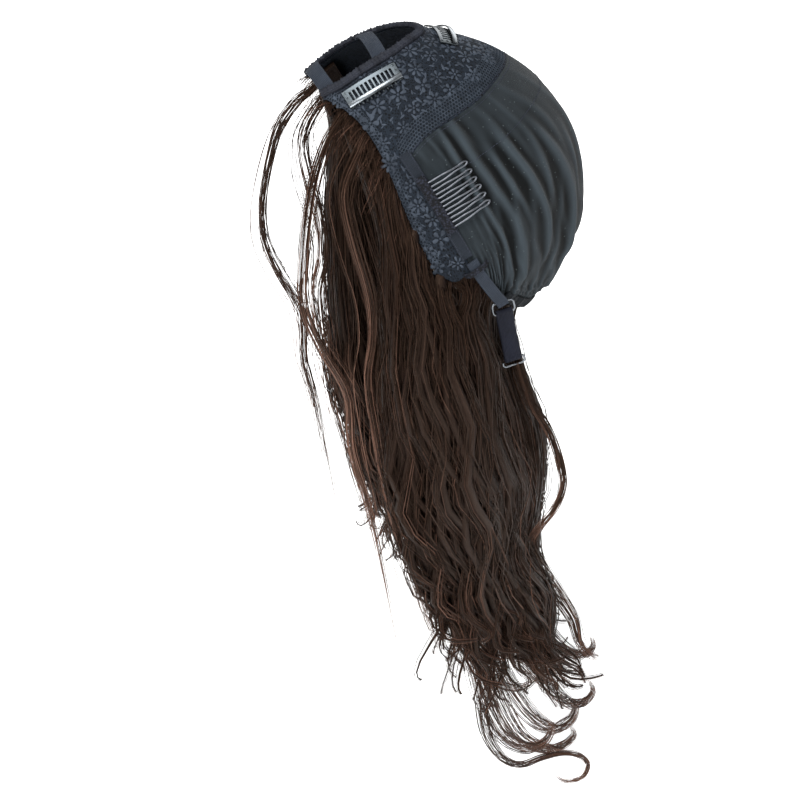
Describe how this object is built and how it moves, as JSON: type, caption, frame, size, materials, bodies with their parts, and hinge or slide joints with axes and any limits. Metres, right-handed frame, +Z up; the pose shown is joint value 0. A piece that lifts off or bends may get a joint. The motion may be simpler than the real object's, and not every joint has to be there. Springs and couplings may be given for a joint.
{
  "type": "half wig",
  "caption": "Half wig worn inside out: stretch cap with lace front panel, open top with two straps, snap clips, wire combs, hooked nape straps and long wavy dark hair below its edge.",
  "frame": {"origin": "inside of the crown on the middle line, just behind the opening, where the wig sits on the head", "axes": "+Z up, -Y towards the wearer's face, +X towards the wearer's left"},
  "size_m": [0.2138, 0.2047, 0.5578],
  "materials": {
    "stretch_lace": "matt floral stretch lace over fine net",
    "stretch_cloth": "matt brushed stretch cloth",
    "ruffled_binding": "matt ruffled elastic binding",
    "elastic": "smooth woven elastic with a slight sheen",
    "seam_tape": "matt woven tape",
    "lace_sleeve": "matt corded lace",
    "comb_wire": "dark bright-drawn wire",
    "slider_metal": "small plated wire ring",
    "dark_strap": "matt dark blue-black elastic",
    "hook_wire": "plated wire",
    "nape_cloth": "gathered matt stretch cloth",
    "clip_steel": "worn grey plated spring steel",
    "clip_bar_steel": "bright plated spring steel",
    "hair": "soft sheen, dark brown with lighter reddish edges"
  },
  "bodies": {
    "wig": {"lace_panel": "stretch_lace", "back_panel": "stretch_cloth", "opening_binding": "ruffled_binding", "strap_front": "elastic", "strap_middle": "elastic", "side_tape_left": "seam_tape", "side_tape_right": "seam_tape", "comb_sleeve_left": "lace_sleeve", "comb_sleeve_right": "lace_sleeve", "side_comb_left": "comb_wire", "side_comb_right": "comb_wire", "strap_keeper_left": "seam_tape", "strap_keeper_right": "seam_tape", "nape_strap_left": "elastic", "nape_strap_right": "elastic", "slider_left": "slider_metal", "slider_right": "slider_metal", "strap_tail_left": "dark_strap", "strap_tail_right": "dark_strap", "end_hook_left": "hook_wire", "end_hook_right": "hook_wire", "nape_band": "nape_cloth", "clip_plate_left": "clip_steel", "clip_plate_right": "clip_steel", "clip_plate_back": "clip_steel", "hair": "hair"},
    "left_bar": {"clip_bar_left": "clip_bar_steel"},
    "right_bar": {"clip_bar_right": "clip_bar_steel"},
    "back_bar": {"clip_bar_back": "clip_bar_steel"}
  },
  "joints": [
    {"name": "left_clip_snap", "type": "hinge", "parent": "wig", "child": "left_bar", "pos_m": [0.03587, -0.07393, -0.01238], "axis": [-0.01, -0.8899, -0.456], "range_deg": [0, 50]},
    {"name": "right_clip_snap", "type": "hinge", "parent": "wig", "child": "right_bar", "pos_m": [-0.03587, -0.07393, -0.01238], "axis": [-0.01, 0.8899, 0.456], "range_deg": [0, 50]},
    {"name": "back_clip_snap", "type": "hinge", "parent": "wig", "child": "back_bar", "pos_m": [0, -0.01791, 0.00603], "axis": [1, 0, 0], "range_deg": [0, 50]}
  ]
}
